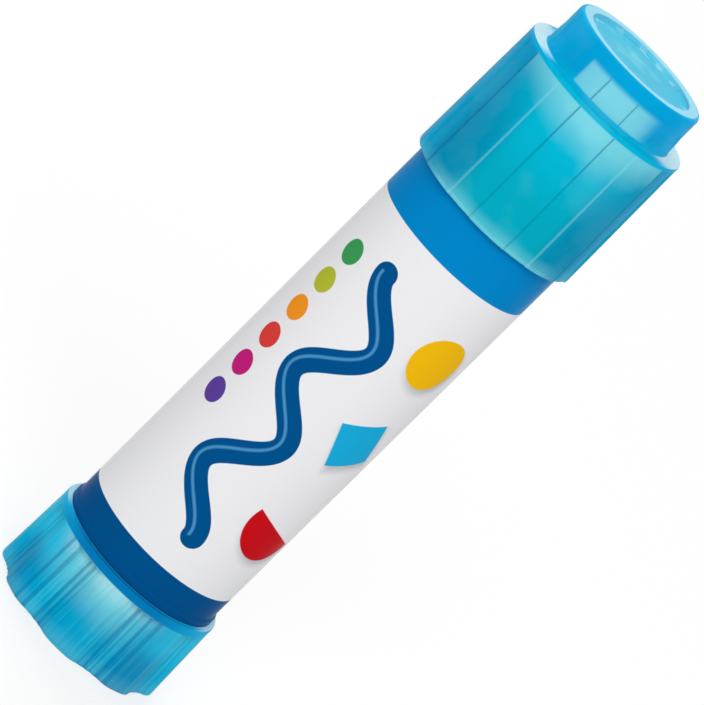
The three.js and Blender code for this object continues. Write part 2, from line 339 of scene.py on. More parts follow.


# The piece's own function gives its colour, painted light and shade included, from where a point is on
# the stick
def makeTinted(name, tintAt):
    look = tintedPlastic
    material, tree, shader = newMaterial(name)
    _, place = placeOf(tree)
    share = look["cloudShare"]
    cloud = remap(tree, speckle(tree, look["cloud"]), 0.3, 0.7, -share, share)
    tree.links.new(tintAt(tree, place["Z"], cloud), shader.inputs["Base Color"])
    shader.inputs["Transmission Weight"].default_value = look["transmission"]
    shader.inputs["IOR"].default_value = look["ior"]
    shader.inputs["Specular IOR Level"].default_value = look["specular"]
    grain = speckle(tree, look["grain"])
    roughen(tree, shader, grain, look["roughness"])
    emboss(tree, shader, grain, look["grainDepth"])
    depth = tree.nodes.new("ShaderNodeVolumeAbsorption")
    depth.inputs["Color"].default_value = look["depthTint"]
    depth.inputs["Density"].default_value = look["depthDensity"]
    output = tree.nodes["Material Output"]
    tree.links.new(depth.outputs[0], output.inputs["Volume"])
    return material


# Cap
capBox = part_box("cap")
cap = {
    "sides": 360,
    "skirtFoot": 10.48 * mm,
    "skirtTop": 10.25 * mm,
    "shoulder": capBox[1][2] - 4.95 * mm,
    "bossFoot": 8.4 * mm,
    "rim": 8.28 * mm,
    "dish": 6.7 * mm,
    "dishDepth": 0.5 * mm,
    "plate": 1.2 * mm,
    "shoulderPlate": 0.9 * mm,
    "lip": 9.72 * mm,
    "lipDepth": 1.25 * mm,
    "bore": 9.12 * mm,
    "bossBore": 7.3 * mm,
    "panels": 8,
    "panelAngle": 18.5,
    "panelTurn": -15.7,
    "panelDepth": 0.16 * mm,
    "panelEdge": 0.7,  # degrees that the step at a panel's side takes
    "gate": 0.6 * mm,
    "gateHeight": 0.15 * mm,
    "rimEdge": 0.5 * mm,
    # tints, with angles in degrees from the middle of the front
    "softness": 1.5,
    "shoulderBand": 0.6 * mm,  # deep band of colour under the shoulder, where it is thick
    "glowLength": 5.6 * mm,  # below that band, lighter down to where the barrel's neck is behind it
    "glowShorter": 1.8 * mm,  # at the sides
    "glowAngles": (12.0, 60.0),
    "glow": 0.78,
    "lipAngles": (38.0, 56.0),
    "lipGlow": 0.34,
    # painted highlight line at the lip's foot edge
    "lipHighlight": 0.22,
    "junctionBand": 0.2 * mm,
    "rimBand": 1.75 * mm,
    "windowGlow": 0.82,
    "frontAngles": (40.0, 66.0),  # from the front's colour to the side's
    # painted reflection on the shoulder's up-facing sides
    "shoulderSheenAngles": (48.0, 68.0),
    "stepColour": paint(0, 198, 236),
    "sideColour": paint(0, 180, 226),
    "landColour": paint(0, 153, 198),  # between the front panels and the next ones
    "landShare": 0.8,
    "landTopShare": 0.3,
    "bossSide": paint(0, 192, 246),
    "lineHalf": 0.85,  # half the width of the lines at the panels' edges
    "outerHalf": 2.04,
    # painted shade lines and a painted highlight line at the panels' edges
    "shadowLine": paint(0, 126, 166),
    "outerShadowLine": paint(0, 118, 178),
    "shadowLineShare": 0.5,
    "highlightLine": paint(170, 240, 246),
    "highlightShare": 0.26,
    # painted reflection on the rim's flat top
    "rimSheen": paint(170, 238, 255),
    "dishColour": paint(84, 208, 236),
    "glint": 0.4,
}


# Light where the wall is thin and nothing is behind it, and azure higher up.
# The front's middle is that of the land between two panels, and the back is the same.
def capTint(tree, height, cloud):
    look = tintedPlastic
    foot = capBox[0][2]
    top = capBox[1][2]
    glowTop = cap["shoulder"] - cap["shoulderBand"]
    middle = cap["panelTurn"] + 180 / cap["panels"]
    nearEdge = 180 / cap["panels"] - cap["panelAngle"] / 2
    farEdge = nearEdge + cap["panelAngle"]
    nextEdge = farEdge + 2 * nearEdge
    soft = cap["softness"]
    fromMiddle = fromDirection(tree, middle)
    onRight = calc(tree, "GREATER_THAN", turnFrom(tree, middle), 0.0)
    onSkirt = remap(tree, height, glowTop, glowTop + 0.2 * mm, 1.0, 0.0)

    # Glow of the skirt
    shorter = remap(tree, fromMiddle, *cap["glowAngles"], 0.0, -cap["glowShorter"])
    uneven = calc(tree, "MULTIPLY_ADD", cloud, look["unevenness"], calc(tree, "ADD", height, shorter))
    glow = remap(tree, uneven, glowTop - cap["glowLength"], glowTop - 0.4 * mm, 0.0, cap["glow"])
    within = remap(tree, fromMiddle, nextEdge - soft, nextEdge + soft, 1.0, 0.0)
    glow = product(tree, glow, onSkirt, within)

    # Lip at its foot: a painted glow, and a painted highlight line along the foot's edge
    lip = remap(tree, height, foot + 0.4 * mm, foot + 2.0 * mm, cap["lipGlow"], 0.0)
    lipHighlight = lineAt(tree, height, foot + 0.25 * mm, 0.3 * mm)
    lip = calc(tree, "MULTIPLY_ADD", lipHighlight, cap["lipHighlight"], lip)
    lip = product(tree, lip, remap(tree, fromMiddle, *cap["lipAngles"], 1.0, 0.4))

    # Window of light through the boss, with a faint right edge
    windowFoot = cap["shoulder"] + cap["junctionBand"]
    windowTop = top - cap["rimBand"]
    window = remap(tree, height, windowFoot, windowFoot + 0.25 * mm)
    below = remap(tree, height, windowTop - 0.4 * mm, windowTop + 0.4 * mm, 1.0, 0.0)
    window = product(tree, window, below)
    crisp = remap(tree, fromMiddle, farEdge - soft, farEdge + soft, cap["windowGlow"], 0.0)
    faint = remap(tree, fromMiddle, farEdge - 5 * soft, farEdge + 6 * soft, cap["windowGlow"], 0.0)
    inWindow = product(tree, window, mixNumber(tree, onRight, crisp, faint))
    glow = calc(tree, "MAXIMUM", glow, inWindow)
    share = calc(tree, "ADD", calc(tree, "MAXIMUM", glow, lip), cloud)

    # The plastic's own colour
    risen = remap(tree, height, foot + 4 * mm, glowTop - 3 * mm)
    skirt = mixColour(tree, risen, look["turquoise"], look["sky"])
    risen = remap(tree, height, windowFoot, windowFoot + 1.2 * mm)
    boss = mixColour(tree, risen, cap["stepColour"], look["azure"])
    front = mixColour(tree, onSkirt, boss, skirt)
    side = mixColour(tree, onSkirt, cap["bossSide"], cap["sideColour"])
    facing = remap(tree, fromMiddle, *cap["frontAngles"], 1.0, 0.0)
    colour = mixColour(tree, facing, side, front)
    land = zone(tree, fromMiddle, farEdge, nextEdge + 4 * soft, 8 * soft)
    fading = remap(tree, height, foot + 5 * mm, glowTop, cap["landShare"], cap["landTopShare"])
    colour = mixColour(tree, product(tree, land, fading, onSkirt), colour, cap["landColour"])
    # Over it, the painted glow and the lip's painted highlight
    colour = mixColour(tree, share, colour, look["light"])

    # Painted shade lines and a painted highlight line at the panels' edges
    fading = remap(tree, height, foot + 3 * mm, glowTop, 0.55, 1.2)
    fading = product(tree, fading, calc(tree, "MAXIMUM", onSkirt, window))
    dark = lineAt(tree, fromMiddle, nearEdge, cap["lineHalf"])
    outer = lineAt(tree, fromMiddle, nextEdge, cap["outerHalf"])
    light = lineAt(tree, fromMiddle, farEdge, cap["lineHalf"])
    colour = mixColour(tree, product(tree, dark, fading, cap["shadowLineShare"]), colour, cap["shadowLine"])
    colour = mixColour(tree, product(tree, outer, onSkirt, cap["shadowLineShare"]), colour, cap["outerShadowLine"])
    colour = mixColour(tree, product(tree, light, onSkirt, cap["highlightShare"]), colour, cap["highlightLine"])

    # Pale crescents on the shoulder, a painted reflection of the light from above
    shoulderSheen = remap(tree, fromMiddle, *cap["shoulderSheenAngles"])
    below = calc(tree, "LESS_THAN", height, cap["shoulder"] + 1 * mm)
    shoulderSheen = product(tree, lookingUp(tree), shoulderSheen, below)
    colour = mixColour(tree, shoulderSheen, colour, look["pale"])

    # Rim, its flat top painted pale as a reflection, and the dish inside it, with painted glints near
    # its wall
    radius = radiusOf(tree)
    onTop = remap(tree, height, top - 0.9 * mm, top - 0.7 * mm)
    rimEnd = cap["rim"] - cap["rimEdge"]
    inRim = remap(tree, radius, rimEnd, rimEnd + 0.2 * mm, 1.0, 0.0)
    colour = mixColour(tree, product(tree, onTop, inRim), colour, cap["rimSheen"])
    floor = mixColour(tree, remap(tree, cloud, 0.0, 0.1), cap["dishColour"], look["light"])
    glint = remap(tree, speckle(tree, 700.0, 2.0), 0.52, 0.6, 0.0, cap["glint"])
    atWall = zone(tree, radius, cap["dish"] - 0.8 * mm, cap["dish"], 0.3 * mm)
    floor = mixColour(tree, product(tree, glint, atWall), floor, look["pale"])
    inDish = remap(tree, radius, cap["dish"] - 0.1 * mm, cap["dish"] + 0.15 * mm, 1.0, 0.0)
    return mixColour(tree, product(tree, onTop, inDish), colour, floor)


def panelRelief(angle):
    pitch = 360 / cap["panels"]
    fromMiddle = abs((math.degrees(angle) - cap["panelTurn"] + pitch / 2) % pitch - pitch / 2)
    half = cap["panelAngle"] / 2
    return cap["panelDepth"] * (1 - smoothStep(fromMiddle, half - cap["panelEdge"], half))


def makeCap():
    foot = capBox[0][2]
    top = capBox[1][2]
    floor = top - cap["dishDepth"]
    ceiling = floor - cap["plate"]
    shoulder = cap["shoulder"]
    under = shoulder - cap["shoulderPlate"]
    seatHeight = foot + cap["lipDepth"]
    corners = [
        (0, ceiling, 0, 0),
        (cap["bossBore"] - 0.25 * mm, ceiling, 0.5 * mm, 0),
        (cap["bossBore"], under, 0.3 * mm, 0),
        (cap["bore"], under, 0.4 * mm, 0),
        (cap["bore"], seatHeight, 0.1 * mm, 0),
        (cap["lip"], seatHeight, 0.1 * mm, 0),
        (cap["lip"], foot, 0.12 * mm, 0),
        (cap["skirtFoot"], foot, 0.2 * mm, 1),
        (cap["skirtTop"], shoulder - 1.2 * mm, 0, 1),
        (cap["skirtTop"], shoulder - 0.5 * mm, 0, 0),
        (cap["skirtTop"], shoulder, 0.1 * mm, 0),
        (cap["bossFoot"] + 0.1 * mm, shoulder - 0.1 * mm, 0.2 * mm, 0),
        (cap["bossFoot"], shoulder + 0.3 * mm, 0, 0),
        (cap["bossFoot"] - 0.04 * mm, shoulder + 1.4 * mm, 0, 1),
        (cap["rim"], top - 2.6 * mm, 0, 1),
        (cap["rim"], top - 1.5 * mm, 0, 0),
        (cap["rim"], top, cap["rimEdge"], 0),
        (cap["dish"], top, 0.15 * mm, 0),
        (cap["dish"], floor, 0.25 * mm, 0),
        (cap["gate"] * 1.6, floor, 0.1 * mm, 0),
        (cap["gate"], floor + cap["gateHeight"], 0.1 * mm, 0),
        (0, floor + cap["gateHeight"], 0, 0),
    ]
    piece = turned("cap", rounded(corners), evenly(cap["sides"]), panelRelief)
    dress(piece, makeTinted("capPlastic", capTint))
    seat(piece, "cap", "cap")


makeCap()
print("cap made")


# Knob
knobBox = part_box("turning_knob")
knob = {
    "sides": 480,
    "height": knobBox[1][2] - 1.5 * mm,
    "band": 10.45 * mm,
    "bandHeight": 0.96 * mm,
    "foot": 10.75 * mm,
    "lobes": 8,
    "lobeDepth": 0.7 * mm,
    "lobeTurn": 2.5,
    "reeds": 4,
    "reedDepth": 0.09 * mm,
    "smoothShare": 0.27,  # of a lobe's pitch, from the lobe's middle
    "wall": 1.54 * mm,
    "hub": 4.0 * mm,
    "hubBore": 2.5 * mm,
    "hubFoot": 2.4 * mm,
    "spigot": 7.75 * mm,
    "spigotWall": 0.9 * mm,
    "spigotHeight": 1.5 * mm,
    "rib": 0.7 * mm,
    "ribFoot": 3.2 * mm,
    # tints, with angles in degrees
    "bandColour": paint(0, 134, 202),
    # painted light at the band's left and right ends
    "bandSide": paint(20, 206, 252),
    "bandSideShare": 0.9,
    "bandAngles": (20.0, 84.0),
    "ringColour": paint(0, 114, 182),
    "ringInner": paint(40, 176, 228),  # painted light beside the label, lifting the shadow where little light gets in
    "ringInnerEnds": (9.95 * mm, 10.2 * mm),
    "ringSheenShare": 0.7,  # painted reflection, paler at the left and right
    "ringSheenAngles": (60.0, 80.0),
    "gripColour": paint(0, 178, 220),
    "glow": 0.9,
    "glowLength": 6.2 * mm,
    "glowTurn": -3.5,
    "glowAngles": (15.0, 46.0),
    "glowAside": 0.12,
    "sideGlow": 0.1,
    "sideGlowAngles": (58.0, 80.0),
    "topGlow": 0.4,
    "topGlowLength": 2.2 * mm,
    "topGlowAngles": (20.0, 52.0),
    "footGlow": 0.22,
    "footGlowHeight": 2.4 * mm,
    # painted light at the grip's sides
    "sideGrip": paint(0, 216, 255),
    "sideShare": 0.85,
    "sideTurn": 8.0,
    "sideAngles": (20.0, 62.0),
    "sideHeights": (1.0 * mm, 6.5 * mm),
    "deepGrip": paint(0, 142, 198),
    "deepShare": 0.85,
    "deepAngles": (34.0, 68.0),
    "deepSoftness": 28.0,
    "deepHeights": (3.6 * mm, 6.8 * mm),
    # colours of the painted highlights and shade of the reeds and lines, and of the random streaks
    "highlightAndStreak": paint(84, 230, 250),
    "reedShadeAndStreak": paint(0, 130, 180),
    "grooveShadeShare": 0.16,
    "ridgeHighlightShare": 0.12,
    # painted shade and highlight lines down the grip, from the front lobe's middle and again from the
    # one behind
    "shadowLines": (  # each with half its width
        (-39.0, 1.7),
        (-32.5, 1.9),
        (-22.5, 1.7),
        (-18.0, 1.9),
        (20.0, 2.0),
        (29.5, 1.5),
        (35.0, 2.2),
    ),
    "shadowLineShare": 0.5,
    "highlightLines": (-55.5, -30.5, -28.0, -25.2, 6.5, 10.5, 13.5, 22.7, 25.4, 51.0, 53.5),
    "highlightHalf": 1.1,
    "highlightShare": 0.34,
    "streaks": 2400.0,
    "streakShare": 0.24,
}


# A deep band at the top, then light, and deeper again down the grip, with painted shade in its grooves
def knobTint(tree, height, cloud):
    look = tintedPlastic
    bandFoot = knob["height"] - knob["bandHeight"]
    fromGlow = fromDirection(tree, knob["glowTurn"])
    cloud = calc(tree, "MULTIPLY", cloud, 0.5)

    # The grip is brighter at the sides, which is painted light, and deeper low down beside the front
    sideways = fromDirection(tree, knob["sideTurn"])
    sideways = remap(tree, sideways, *knob["sideAngles"], 0.0, knob["sideShare"])
    high = remap(tree, height, *knob["sideHeights"], 0.5, 1.0)
    grip = mixColour(tree, product(tree, sideways, high), knob["gripColour"], knob["sideGrip"])
    aside = zone(tree, fromGlow, *knob["deepAngles"], knob["deepSoftness"])
    low = remap(tree, height, *knob["deepHeights"], knob["deepShare"], 0.0)
    grip = mixColour(tree, product(tree, aside, low), grip, knob["deepGrip"])

    # Glow under the band, mostly at the front
    uneven = calc(tree, "MULTIPLY_ADD", cloud, look["unevenness"], height)
    glow = remap(tree, uneven, bandFoot - knob["glowLength"], bandFoot, 0.0, knob["glow"])
    facing = remap(tree, fromGlow, *knob["glowAngles"], 1.0, knob["glowAside"])
    beside = remap(tree, fromGlow, *knob["sideGlowAngles"], 0.0, knob["sideGlow"])
    glow = product(tree, glow, calc(tree, "ADD", facing, beside))
    foot = remap(tree, height, 0.0, knob["footGlowHeight"], knob["footGlow"], 0.0)
    share = calc(tree, "ADD", calc(tree, "MAXIMUM", glow, foot), cloud)
    grip = mixColour(tree, share, grip, look["light"])
    topGlow = remap(tree, height, bandFoot - knob["topGlowLength"], bandFoot, 0.0, knob["topGlow"])
    facing = remap(tree, fromGlow, *knob["topGlowAngles"], 1.0, 0.0)
    grip = mixColour(tree, product(tree, topGlow, facing), grip, look["pale"])

    # Painted shade in the reeds' grooves and painted highlights on their ridges, in the valleys between
    # the lobes
    turn = calc(tree, "SUBTRACT", angleOf(tree), math.radians(knob["lobeTurn"]))
    turn = calc(tree, "MULTIPLY_ADD", turn, knob["lobes"] / (2 * math.pi), knob["lobes"])
    place = calc(tree, "FRACT", turn)
    fromLobe = calc(tree, "PINGPONG", place, 0.5)
    inValley = calc(tree, "GREATER_THAN", fromLobe, knob["smoothShare"])
    across = calc(tree, "SUBTRACT", place, knob["smoothShare"])
    across = calc(tree, "DIVIDE", across, 1 - 2 * knob["smoothShare"])
    wave = calc(tree, "SINE", calc(tree, "MULTIPLY", across, math.pi * knob["reeds"]))
    wave = calc(tree, "ABSOLUTE", wave)
    groove = product(tree, remap(tree, wave, 0.76, 1.0), inValley, knob["grooveShadeShare"])
    ridge = product(tree, remap(tree, wave, 0.0, 0.45, 1.0, 0.0), inValley, knob["ridgeHighlightShare"])
    grip = mixColour(tree, groove, grip, knob["reedShadeAndStreak"])
    grip = mixColour(tree, ridge, grip, knob["highlightAndStreak"])

    # Painted highlight and shade lines down the grip, and fine streaks
    lineTurn = turnFrom(tree, knob["lobeTurn"])
    pale = linesAt(tree, lineTurn, [(line, knob["highlightHalf"]) for line in knob["highlightLines"]])
    fading = remap(tree, height, 0.0, bandFoot, 0.7, 1.0)
    grip = mixColour(tree, product(tree, pale, fading, knob["highlightShare"]), grip, knob["highlightAndStreak"])
    dark = linesAt(tree, lineTurn, knob["shadowLines"])
    grip = mixColour(tree, product(tree, dark, knob["shadowLineShare"]), grip, knob["reedShadeAndStreak"])
    streak = speckle(tree, knob["streaks"], 2.0, (1, 1, 0.02))
    strength = calc(tree, "MULTIPLY_ADD", inValley, 0.6, 0.4)
    bright = remap(tree, streak, 0.54, 0.62, 0.0, knob["streakShare"])
    dull = remap(tree, streak, 0.38, 0.46, knob["streakShare"], 0.0)
    grip = mixColour(tree, product(tree, bright, strength), grip, knob["highlightAndStreak"])
    grip = mixColour(tree, product(tree, dull, strength), grip, knob["reedShadeAndStreak"])

    # The band and the ring on top of it, with painted light at their left and right ends
    fromFront = fromDirection(tree, 0)
    inner = remap(tree, radiusOf(tree), *knob["ringInnerEnds"], 1.0, 0.0)
    ring = mixColour(tree, inner, knob["ringColour"], knob["ringInner"])
    band = mixColour(tree, lookingUp(tree), knob["bandColour"], ring)
    atSide = remap(tree, fromFront, *knob["bandAngles"], 0.0, knob["bandSideShare"])
    band = mixColour(tree, atSide, band, knob["bandSide"])
    ringSheen = remap(tree, fromFront, *knob["ringSheenAngles"], 0.0, knob["ringSheenShare"])
    band = mixColour(tree, product(tree, lookingUp(tree), ringSheen), band, look["pale"])
    onBand = remap(tree, height, bandFoot - 0.05 * mm, bandFoot + 0.1 * mm)
    return mixColour(tree, onBand, grip, band)


def lobeRelief(angle):
    pitch = 360 / knob["lobes"]
    place = ((math.degrees(angle) - knob["lobeTurn"]) / pitch) % 1
    fromLobe = min(place, 1 - place)
    inset = knob["lobeDepth"] * smoothStep(fromLobe, 0.12, 0.45)
    if fromLobe > knob["smoothShare"]:
        across = (place - knob["smoothShare"]) / (1 - 2 * knob["smoothShare"])
        inset += knob["reedDepth"] * abs(math.sin(math.pi * knob["reeds"] * across))
    return inset


def makeKnob():
    top = knob["height"]
    bandFoot = top - knob["bandHeight"]
    spigotTop = top + knob["spigotHeight"]
    inner = knob["spigot"] - knob["spigotWall"]
    corners = [
        (knob["hubBore"], spigotTop, 0, 0),
        (knob["hubBore"], knob["hubFoot"], 0.1 * mm, 0),
        (knob["hub"], knob["hubFoot"], 0.2 * mm, 0),
        (knob["hub"], bandFoot, 0.2 * mm, 0),
        (knob["band"] - knob["wall"], bandFoot, 0.4 * mm, 0),
        (knob["foot"] - knob["wall"], 0, 0.15 * mm, 0),
        (knob["foot"], 0, 0.2 * mm, 1),
        (knob["band"], bandFoot - 0.15 * mm, 0, 1),
        (knob["band"], bandFoot, 0, 0),
        (knob["band"], top, 0.3 * mm, 0),
        (knob["spigot"], top, 0.1 * mm, 0),
        (knob["spigot"], spigotTop, 0.15 * mm, 0),
        (inner, spigotTop, 0.15 * mm, 0),
        (inner, top, 0.2 * mm, 0),
        (knob["hub"], top, 0.2 * mm, 0),
        (knob["hub"], spigotTop, 0.15 * mm, 0),
    ]
    return turned("knob", rounded(corners, closed=True), evenly(knob["sides"]), lobeRelief, closed=True)


# Spokes between the hub and the wall, seen from below
def makeRibs():
    foot = knob["ribFoot"]
    top = knob["height"] - knob["bandHeight"] + 0.05 * mm
    half = knob["rib"] / 2
    start = knob["hub"] - 0.3 * mm
    end = knob["band"] - knob["lobeDepth"] - knob["reedDepth"] - knob["wall"] / 2
    section = ((-half, top), (-half, foot + 0.15 * mm), (-half + 0.1 * mm, foot))
    section += tuple((-x, z) for x, z in reversed(section))
    verts = []
    faces = []
    for i in range(knob["lobes"]):
        angle = math.radians(knob["lobeTurn"] + 360 / knob["lobes"] * i)
        out = onStick(angle, 1, 0)
        across = Vector((-out.y, out.x, 0))
        first = len(verts)
        for radius in (start, end):
            verts += [out * radius + across * x + Vector((0, 0, z)) for x, z in section]
        count = len(section)
        for j in range(count):
            k = (j + 1) % count
            faces.append([first + j, first + k, first + count + k, first + count + j])
        faces.append([first + j for j in reversed(range(count))])
        faces.append([first + count + j for j in range(count)])
    return addPiece("knobRibs", verts, faces)


def placeKnob():
    plastic = makeTinted("knobPlastic", knobTint)
    for piece in (makeKnob(), makeRibs()):
        dress(piece, plastic)
        seat(piece, "knob", "turning_knob")


placeKnob()
print("knob made")


# Barrel
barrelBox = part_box("barrel")
barrel = {
    "sides": 240,
    "body": 9.5 * mm,
    "neck": 9.0 * mm,
    "bore": 8.2 * mm,
    "neckLength": 10.2 * mm,
    "bead": 0.1 * mm,
    "beadFoot": 1.9 * mm,
    "beadHeight": 0.8 * mm,
    "footBead": 0.25 * mm,
    "footBeadHeight": 0.55 * mm,
    "floorUnder": barrelBox[0][2] + 1.5 * mm,
    "floorTop": barrelBox[0][2] + 2.7 * mm,
    "bearing": 3.2 * mm,
    "keys": 4,
    "keyWidth": 1.2 * mm,
    "keyRise": 0.35 * mm,
    "keyInset": 0.7 * mm,
}


def barrelTint(tree, height, cloud):
    look = tintedPlastic
    return mixColour(tree, calc(tree, "ADD", cloud, 0.1), look["turquoise"], look["light"])


def keyRelief(angle):
    pitch = 2 * math.pi / barrel["keys"]
    fromKey = abs((angle + pitch / 2) % pitch - pitch / 2) * barrel["bore"]
    half = barrel["keyWidth"] / 2
    return barrel["keyRise"] * (1 - smoothStep(fromKey, half - 0.1 * mm, half))


def makeBarrel():
    foot = barrelBox[0][2]
    top = barrelBox[1][2]
    ledge = top - barrel["neckLength"]
    bead = ledge + barrel["beadFoot"]
    socket = knob["spigot"] + 0.2 * mm
    swell = barrel["body"] + barrel["footBead"]
    swellTop = foot + barrel["footBeadHeight"]
    corners = [
        (barrel["bore"], top, 0.15 * mm, 0),
        (barrel["bore"], top - barrel["keyInset"] + 0.15 * mm, 0, 0),
        (barrel["bore"], top - barrel["keyInset"], 0, 1),
        (barrel["bore"], barrel["floorTop"], 0, 1),
        (barrel["bearing"], barrel["floorTop"], 0, 0),
        (barrel["bearing"], barrel["floorUnder"], 0, 0),
        (socket, barrel["floorUnder"], 0, 0),
        (socket, foot, 0, 0),
        (swell, foot, 0.1 * mm, 0),
        (swell, swellTop, 0.2 * mm, 0),
        (barrel["body"], swellTop + barrel["footBead"], 0.2 * mm, 0),
        (barrel["body"], ledge, 0.15 * mm, 0),
        (barrel["neck"], ledge, 0.1 * mm, 0),
        (barrel["neck"], bead, 0.1 * mm, 0),
        (barrel["neck"] + barrel["bead"], bead + 0.2 * mm, 0.1 * mm, 0),
        (barrel["neck"] + barrel["bead"], bead + barrel["beadHeight"] - 0.2 * mm, 0.1 * mm, 0),
        (barrel["neck"], bead + barrel["beadHeight"], 0.1 * mm, 0),
        (barrel["neck"], top, 0.3 * mm, 0),
    ]
    outline = rounded(corners, closed=True)
    piece = turned("barrel", outline, evenly(barrel["sides"]), keyRelief, closed=True)
    dress(piece, makeTinted("barrelPlastic", barrelTint))
    seat(piece, "barrel", "barrel")


makeBarrel()
print("barrel made")


# Label, and its print
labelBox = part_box("label_sleeve")
label = {
    "sides": 360,
    "film": 0.08 * mm,
    "gap": 0.02 * mm,
    "tuck": 0.12 * mm,  # how far the shrunk film reaches past the barrel's foot
    "overlapAngle": 8.0,
    "overlapRise": 0.05 * mm,
    "roughness": (0.21, 0.31),
    "specular": 0.05,
    "ior": 1.2,
    "wrinkle": 0.02 * mm,
    # the print, in millimetres across the label from the front and up the stick
    "inkEdge": 0.05,
    "footBand": 13.85,
    "neckBand": 57.3,
    "trails": (
        {
            "middle": -0.4,
            "start": 18.4,
            "swing": 2.6,
            "length": 13.6,
            "bends": 5,
            "stroke": 1.3,
            "ink": "navy",
        },
        {
            "middle": 24.2,
            "start": 19.0,
            "swing": 1.9,
            "length": 9.6,
            "bends": 7,
            "stroke": 0.8,
            "ink": "cyan",
        },
    ),
    "dotRows": (
        {"across": -7.8, "start": 30.4, "pitch": 4.1, "radius": 1.45},
        {"across": -19.8, "start": 26.6, "pitch": 4.1, "radius": 1.25},
    ),
    "disc": {"spot": (8.2, 48.6), "radius": 3.3, "ink": "yellow"},
    "halfDisc": {"spot": (9.4, 24.0), "radius": 4.2, "turn": 70.0, "ink": "red"},
    "diamond": {"spot": (8.4, 36.6), "half": 2.7, "turn": 24.0, "ink": "cyan"},
    "flowers": (
        {"spot": (17.4, 51.0), "radius": 2.6, "ink": "navy"},
        {"spot": (17.4, 20.6), "radius": 2.6, "ink": "navy"},
        {"spot": (-25.4, 20.6), "radius": 2.6, "ink": "cyan"},
        {"spot": (-25.4, 51.0), "radius": 2.6, "ink": "cyan"},
    ),
    "petals": 5,
    "shadeOffset": (0.45, -0.6),
    "shadeSoftness": 0.8,
    "shade": 0.42,
}
inks = {
    "paper": paint(232, 232, 234),
    "navy": paint(0, 78, 136),
    "blue": paint(0, 130, 196),
    "cyan": paint(24, 168, 216),
    "red": paint(196, 16, 26),
    "yellow": paint(238, 184, 14),
    "shine": paint(70, 140, 190),
    "shade": paint(90, 96, 110),
}
rainbow = (
    paint(92, 62, 152),
    paint(190, 30, 120),
    paint(214, 62, 58),
    paint(238, 146, 34),
    paint(176, 184, 52),
    paint(58, 152, 84),
)


def overlapRelief(angle):
    fromBack = abs(math.degrees(angle) - 180)
    half = label["overlapAngle"] / 2
    return -label["overlapRise"] * (1 - smoothStep(fromBack, half - 0.6, half))


def makeLabel(film):
    foot = labelBox[0][2] - label["tuck"]
    top = labelBox[1][2]
    inner = barrel["body"] + label["gap"]
    outer = inner + label["film"]
    swell = barrel["footBead"]
    swellTop = foot + barrel["footBeadHeight"]
    corners = [
        (inner, top, 0, 0),
        (inner, swellTop + swell, 0, 0),
        (inner + swell, swellTop, 0, 0),
        (inner + swell, foot, 0, 0),
        (outer + swell, foot, 0, 1),
        (outer + swell, swellTop + label["film"], 0.2 * mm, 1),
        (outer, swellTop + swell + label["film"], 0.2 * mm, 1),
        (outer, top, 0, 1),
    ]
    outline = rounded(corners, closed=True)
    piece = turned("label", outline, evenly(label["sides"]), overlapRelief, closed=True)
    dress(piece, film)
    seat(piece, "barrel", "label_sleeve")


# 1 on the inked side of an edge: a distance is in millimetres, and below 0 inside the shape
def inked(tree, distance, soft=None):
    soft = soft or label["inkEdge"]
    return remap(tree, distance, -soft, soft, 1.0, 0.0)


def fromSpot(tree, spot, across, up):
    return calc(tree, "SUBTRACT", across, spot[0]), calc(tree, "SUBTRACT", up, spot[1])


# How far a point is along a direction
def along(tree, x, y, degrees):
    turn = math.radians(degrees)
    return calc(tree, "MULTIPLY_ADD", x, math.cos(turn), calc(tree, "MULTIPLY", y, math.sin(turn)))


# A trail of glue squeezed out in a wave, with round ends.
# Each step moves a place on the wave nearer to the point.
def trailDistance(tree, trail, across, up):
    wave = 2 * math.pi / trail["length"]
    span = trail["bends"] * trail["length"] / 2
    rise = calc(tree, "SUBTRACT", up, trail["start"])
    place = calc(tree, "MINIMUM", calc(tree, "MAXIMUM", rise, 0.0), span)
    for step in range(3):
        phase = calc(tree, "MULTIPLY", place, wave)
        bend = calc(tree, "COSINE", phase)
        middle = calc(tree, "MULTIPLY_ADD", bend, trail["swing"], trail["middle"])
        aside = calc(tree, "SUBTRACT", across, middle)
        ahead = calc(tree, "SUBTRACT", rise, place)
        if step < 2:
            slope = calc(tree, "MULTIPLY", calc(tree, "SINE", phase), -trail["swing"] * wave)
            pull = calc(tree, "MULTIPLY_ADD", aside, slope, ahead)
            pull = calc(tree, "DIVIDE", pull, calc(tree, "MULTIPLY_ADD", slope, slope, 1.0))
            moved = calc(tree, "ADD", place, pull)
            place = calc(tree, "MINIMUM", calc(tree, "MAXIMUM", moved, 0.0), span)
    return calc(tree, "SUBTRACT", length(tree, aside, ahead), trail["stroke"])


def discDistance(tree, disc, across, up):
    x, y = fromSpot(tree, disc["spot"], across, up)
    return calc(tree, "SUBTRACT", length(tree, x, y), disc["radius"])


def halfDiscDistance(tree, disc, across, up):
    x, y = fromSpot(tree, disc["spot"], across, up)
    return calc(tree, "MAXIMUM", discDistance(tree, disc, across, up), along(tree, x, y, disc["turn"]))


def diamondDistance(tree, diamond, across, up):
    x, y = fromSpot(tree, diamond["spot"], across, up)
    one = calc(tree, "ABSOLUTE", along(tree, x, y, diamond["turn"]))
    other = calc(tree, "ABSOLUTE", along(tree, x, y, diamond["turn"] + 90))
    return calc(tree, "SUBTRACT", calc(tree, "MAXIMUM", one, other), diamond["half"])


